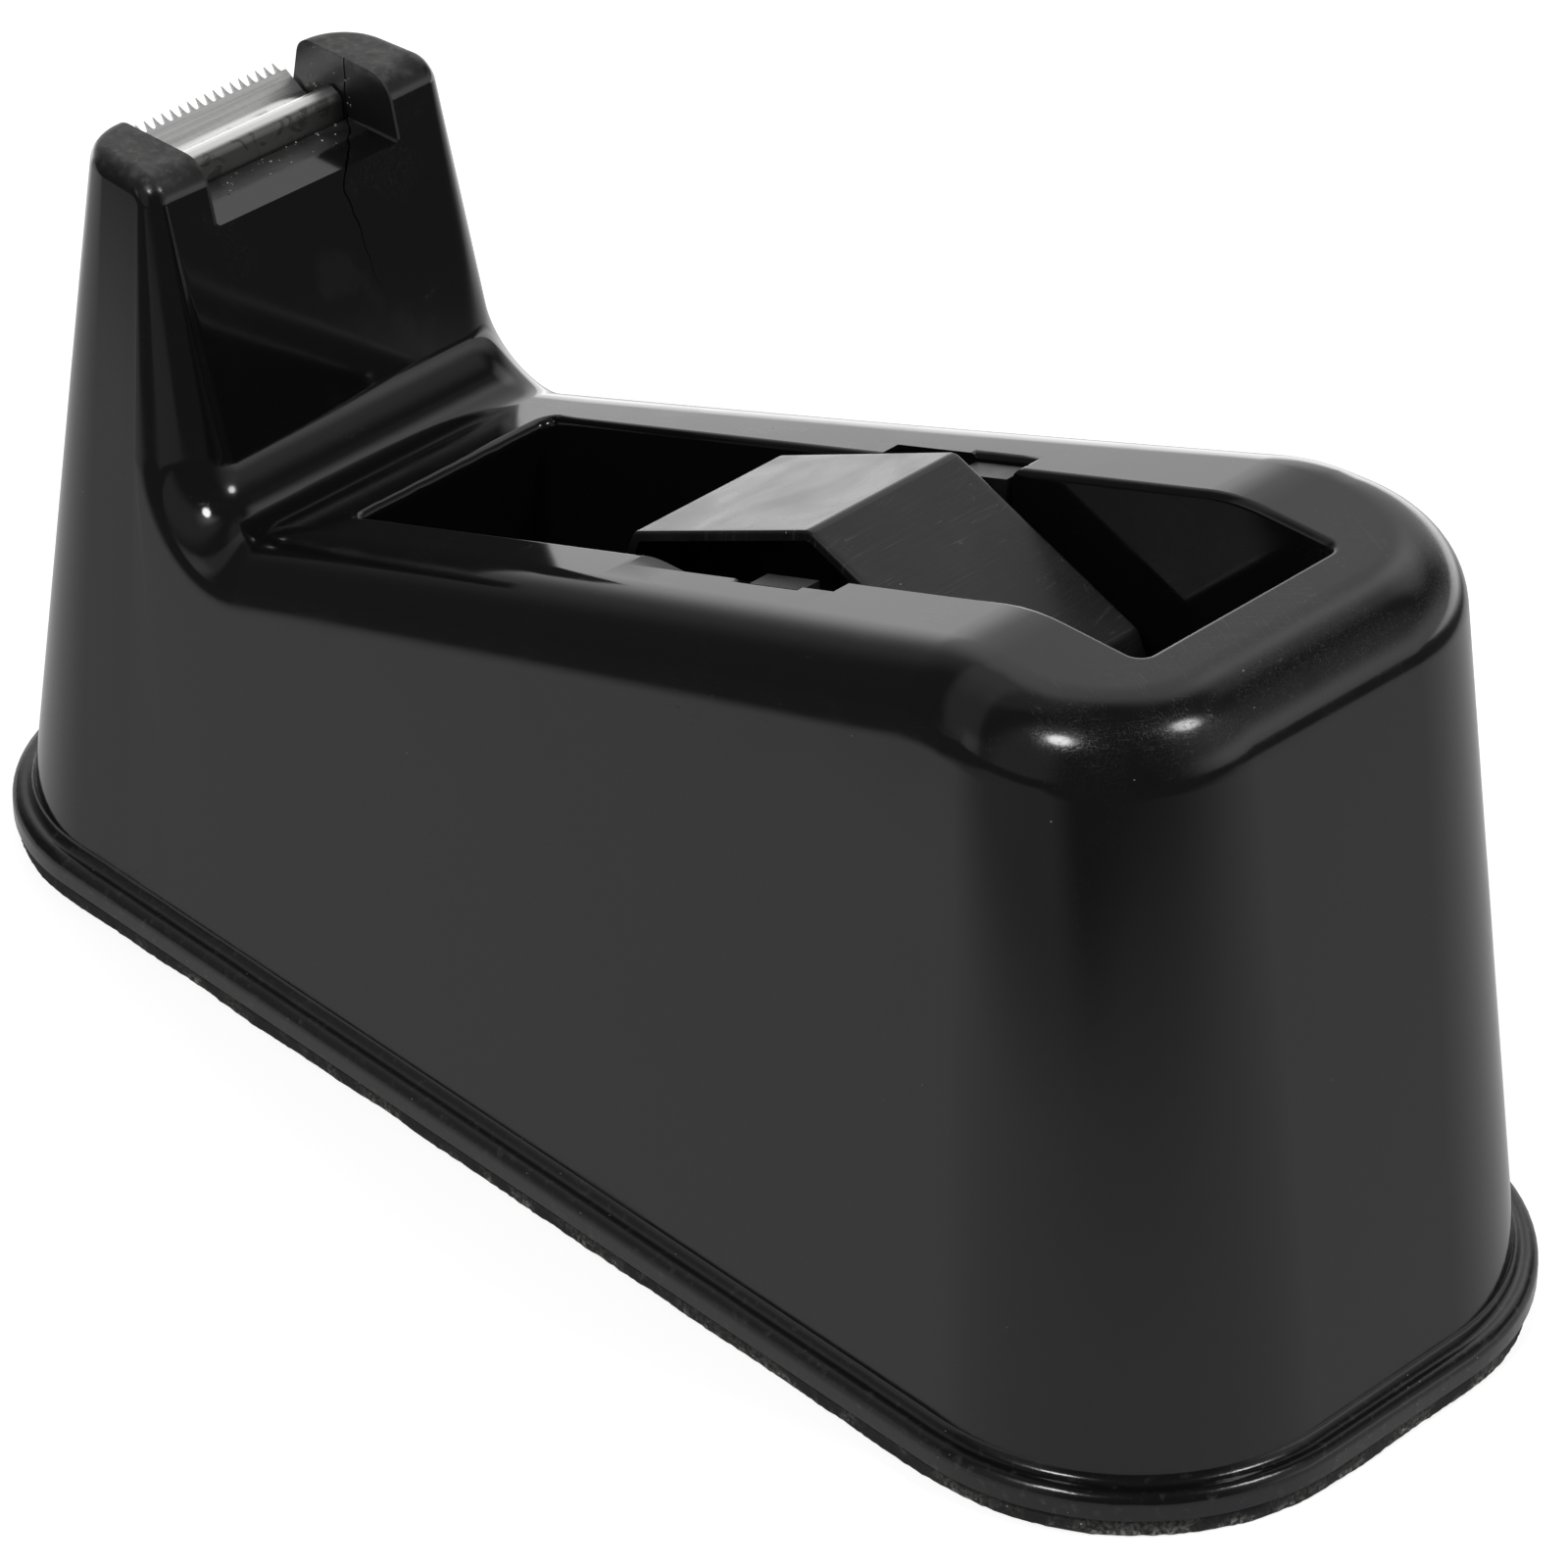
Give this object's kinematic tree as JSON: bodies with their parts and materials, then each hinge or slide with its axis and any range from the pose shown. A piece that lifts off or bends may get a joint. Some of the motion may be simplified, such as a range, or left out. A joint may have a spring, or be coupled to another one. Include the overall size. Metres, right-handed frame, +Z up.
{
  "type": "weighted desk tape dispenser",
  "caption": "Weighted black desk tape dispenser: tall blade tower with a toothed cutter, sloping deck, open roll well and a lift-out octagonal core drum on an axle.",
  "frame": {"origin": "middle of the footprint at the underside of the foot pad", "axes": "+X from the blade tower to the rear, +Y across the dispenser along the drum's axis, +Z up"},
  "size_m": [0.1979, 0.0792, 0.091],
  "materials": {
    "gloss_housing": "moulded gloss, lightly scratched",
    "drum_plastic": "semi-gloss moulded, scuffed",
    "slide_plastic": "satin",
    "bush_plastic": "satin",
    "blade_steel": "bright pressed strip",
    "zinc_steel": "zinc plated",
    "cast_ballast": "as cast",
    "foot_foam": "matte foam rubber"
  },
  "bodies": {
    "base": {"ballast_far": "cast_ballast", "ballast_front": "cast_ballast", "ballast_near": "cast_ballast", "ballast_rear": "cast_ballast", "base_plate": "zinc_steel", "base_screw_1": "zinc_steel", "base_screw_2": "zinc_steel", "base_screw_3": "zinc_steel", "base_screw_4": "zinc_steel", "base_screw_5": "zinc_steel", "base_screw_6": "zinc_steel", "blade": "blade_steel", "foot_pad": "foot_foam", "housing": "gloss_housing"},
    "carrier": {"axle": "zinc_steel", "tongue_far": "slide_plastic", "tongue_near": "slide_plastic", "washer_far": "zinc_steel", "washer_near": "zinc_steel"},
    "drum": {"bush_far": "bush_plastic", "bush_near": "bush_plastic", "drum": "drum_plastic"}
  },
  "joints": [
    {"name": "drum_lift", "type": "slide", "parent": "base", "child": "carrier", "axis": [0, 0, 1], "range_m": [0, 0.08]},
    {"name": "drum_spin", "type": "hinge", "parent": "carrier", "child": "drum", "pos_m": [0.0242, 0, 0.0454], "axis": [0, 1, 0], "continuous": true}
  ]
}
